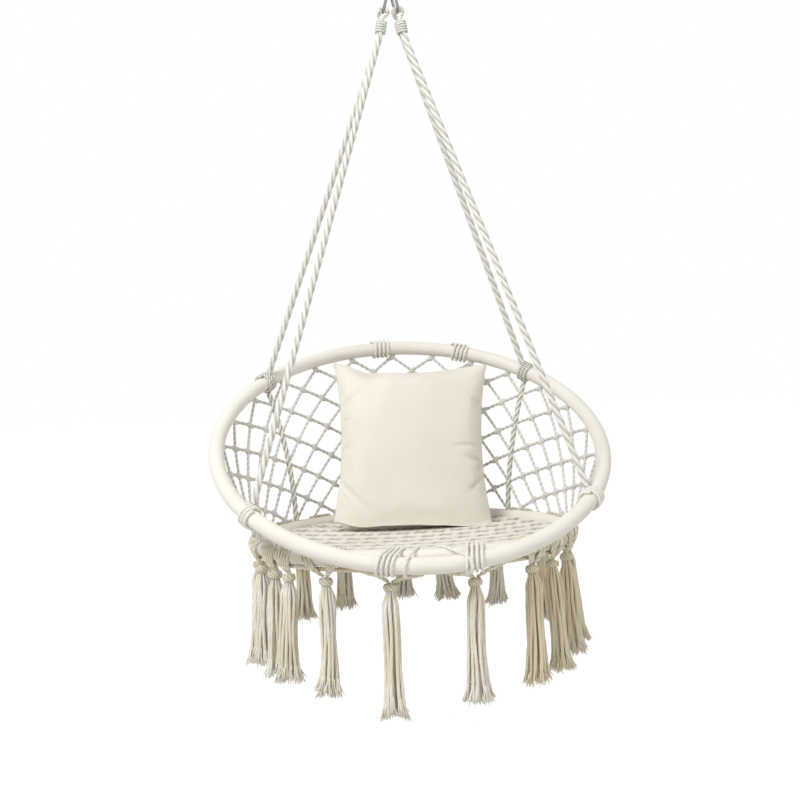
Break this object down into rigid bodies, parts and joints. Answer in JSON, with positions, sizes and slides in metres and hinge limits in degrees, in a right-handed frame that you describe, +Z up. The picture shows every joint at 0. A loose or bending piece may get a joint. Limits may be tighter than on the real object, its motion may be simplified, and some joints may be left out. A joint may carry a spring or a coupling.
{
  "type": "hanging saucer chair",
  "caption": "Macrame saucer chair hung from a snap hook: two padded hoops, diamond net, twisted ropes, woven seat, tassel fringe and a loose square pillow.",
  "frame": {"origin": "inside top of the snap hook, where it bears on the ceiling eye that carries the chair", "axes": "+Z up, -Y towards the chair's open front, +X towards the right side as seen from the front"},
  "size_m": [0.7992, 0.7015, 1.442],
  "materials": {
    "steel": "polished zinc-bright steel",
    "hoop_steel": "plain tube, hidden in its sleeve",
    "sleeve_cotton": "ribbed cream cotton",
    "rope_cotton": "twisted cream cotton cord",
    "net_cotton": "knotted and woven cream cotton cord",
    "fringe_cotton": "loose cotton cord with frayed ends",
    "pillow_cover": "soft matt off-white cotton",
    "pillow_filling": "white fibre filling"
  },
  "bodies": {
    "hook": {"hook_body": "steel", "gate_pin": "steel"},
    "gate": {"hook_gate": "steel"},
    "rings": {"left_ring": "steel", "right_ring": "steel"},
    "pillow": {"pillow_cover": "pillow_cover", "pillow_insert": "pillow_filling"},
    "chair": {"back_hoop_sleeve": "sleeve_cotton", "back_hoop_tube": "hoop_steel", "back_net": "net_cotton", "fringe_header_cord": "rope_cotton", "left_back_wrap": "rope_cotton", "left_front_knot": "rope_cotton", "left_front_lacing": "net_cotton", "left_front_lashing": "rope_cotton", "left_front_rope": "rope_cotton", "left_front_support": "rope_cotton", "left_net": "net_cotton", "left_rear_knot": "rope_cotton", "left_rear_rope": "rope_cotton", "left_rear_support": "rope_cotton", "left_rope_eye": "rope_cotton", "left_top_wrap": "rope_cotton", "right_back_wrap": "rope_cotton", "right_front_knot": "rope_cotton", "right_front_lacing": "net_cotton", "right_front_lashing": "rope_cotton", "right_front_rope": "rope_cotton", "right_front_support": "rope_cotton", "right_net": "net_cotton", "right_rear_knot": "rope_cotton", "right_rear_rope": "rope_cotton", "right_rear_support": "rope_cotton", "right_rope_eye": "rope_cotton", "right_top_wrap": "rope_cotton", "seat_hoop_sleeve": "sleeve_cotton", "seat_hoop_tube": "hoop_steel", "seat_weave": "net_cotton", "tassel_01": "fringe_cotton", "tassel_02": "fringe_cotton", "tassel_03": "fringe_cotton", "tassel_04": "fringe_cotton", "tassel_05": "fringe_cotton", "tassel_06": "fringe_cotton", "tassel_07": "fringe_cotton", "tassel_08": "fringe_cotton", "tassel_09": "fringe_cotton", "tassel_10": "fringe_cotton", "tassel_11": "fringe_cotton", "tassel_12": "fringe_cotton", "tassel_13": "fringe_cotton", "tassel_14": "fringe_cotton", "tassel_15": "fringe_cotton", "tassel_16": "fringe_cotton", "tassel_17": "fringe_cotton", "tassel_18": "fringe_cotton"}
  },
  "joints": [
    {"name": "gate_open", "type": "hinge", "parent": "hook", "child": "gate", "pos_m": [0.016, 0, -0.04], "axis": [0, -1, 0], "range_deg": [0, 25], "stiffness_Nm_per_rad": 0.05, "springref_deg": -17.19},
    {"name": "rings_sway", "type": "hinge", "parent": "hook", "child": "rings", "pos_m": [0, 0, -0.05], "axis": [0, 1, 0], "range_deg": [-12, 12]},
    {"name": "chair_swing", "type": "hinge", "parent": "rings", "child": "chair", "pos_m": [0, 0, -0.07893], "axis": [1, 0, 0], "range_deg": [-25, 25]},
    {"name": "pillow_lift", "type": "slide", "parent": "chair", "child": "pillow", "axis": [0, -0.5151, 0.8571], "range_m": [0, 0.3]}
  ]
}
